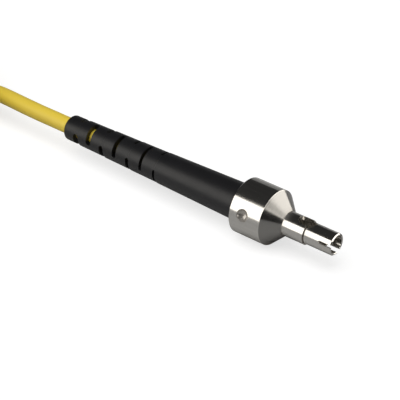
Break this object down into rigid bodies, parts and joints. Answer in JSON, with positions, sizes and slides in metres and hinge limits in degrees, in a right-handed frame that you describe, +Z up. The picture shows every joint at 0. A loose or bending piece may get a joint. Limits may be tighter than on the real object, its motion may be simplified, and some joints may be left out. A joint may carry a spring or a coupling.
{
  "type": "fibre optic connector",
  "caption": "Single-fibre plug with a plain coned metal collar, a slotted hollow tip and a slotted black boot on a yellow jacketed pigtail.",
  "frame": {"origin": "on the surface that the collar lies on, under the middle of the connector, cable left out", "axes": "+X along the connector's axis towards the tip, +Z up from the surface"},
  "size_m": [0.1138, 0.036, 0.015],
  "materials": {
    "boot_rubber": "matt black moulded rubber",
    "plated_collar": "bright turned nickel plate",
    "plated_nose": "bright turned nickel plate",
    "ferrule_ceramic": "polished white zirconia",
    "fibre_glass": "clear glass",
    "holder_brass": "turned brass",
    "spring_steel": "drawn spring wire",
    "washer_steel": "pressed steel",
    "backbone_metal": "turned nickel plate",
    "crimp_metal": "drawn and annealed tube",
    "aramid": "straight yellow yarn",
    "yellow_jacket": "satin yellow cable jacket",
    "guide_plastic": "translucent tube",
    "buffer_plastic": "smooth off-white buffer"
  },
  "bodies": {
    "root": {"strain_relief_boot": "boot_rubber", "collar": "plated_collar", "nose_barrel": "plated_nose", "ferrule_spring": "spring_steel", "spring_washer": "washer_steel", "backbone": "backbone_metal", "crimp_ring": "crimp_metal", "aramid_yarn": "aramid", "cable_jacket": "yellow_jacket", "cord_tube": "yellow_jacket", "cord_coil": "yellow_jacket", "cord_curl": "yellow_jacket", "cord_end_yarn": "aramid", "cord_end_buffer": "buffer_plastic"},
    "ferrule_unit": {"ferrule": "ferrule_ceramic", "optical_fibre": "fibre_glass", "ferrule_holder": "holder_brass", "buffer_tube": "guide_plastic", "tight_buffer": "buffer_plastic"}
  },
  "joints": [
    {"name": "ferrule_slide", "type": "slide", "parent": "root", "child": "ferrule_unit", "axis": [-1, 0, 0], "range_m": [0, 0.001], "stiffness_N_per_m": 2000, "springref_m": -0.004, "deforming": ["ferrule_spring"]}
  ]
}
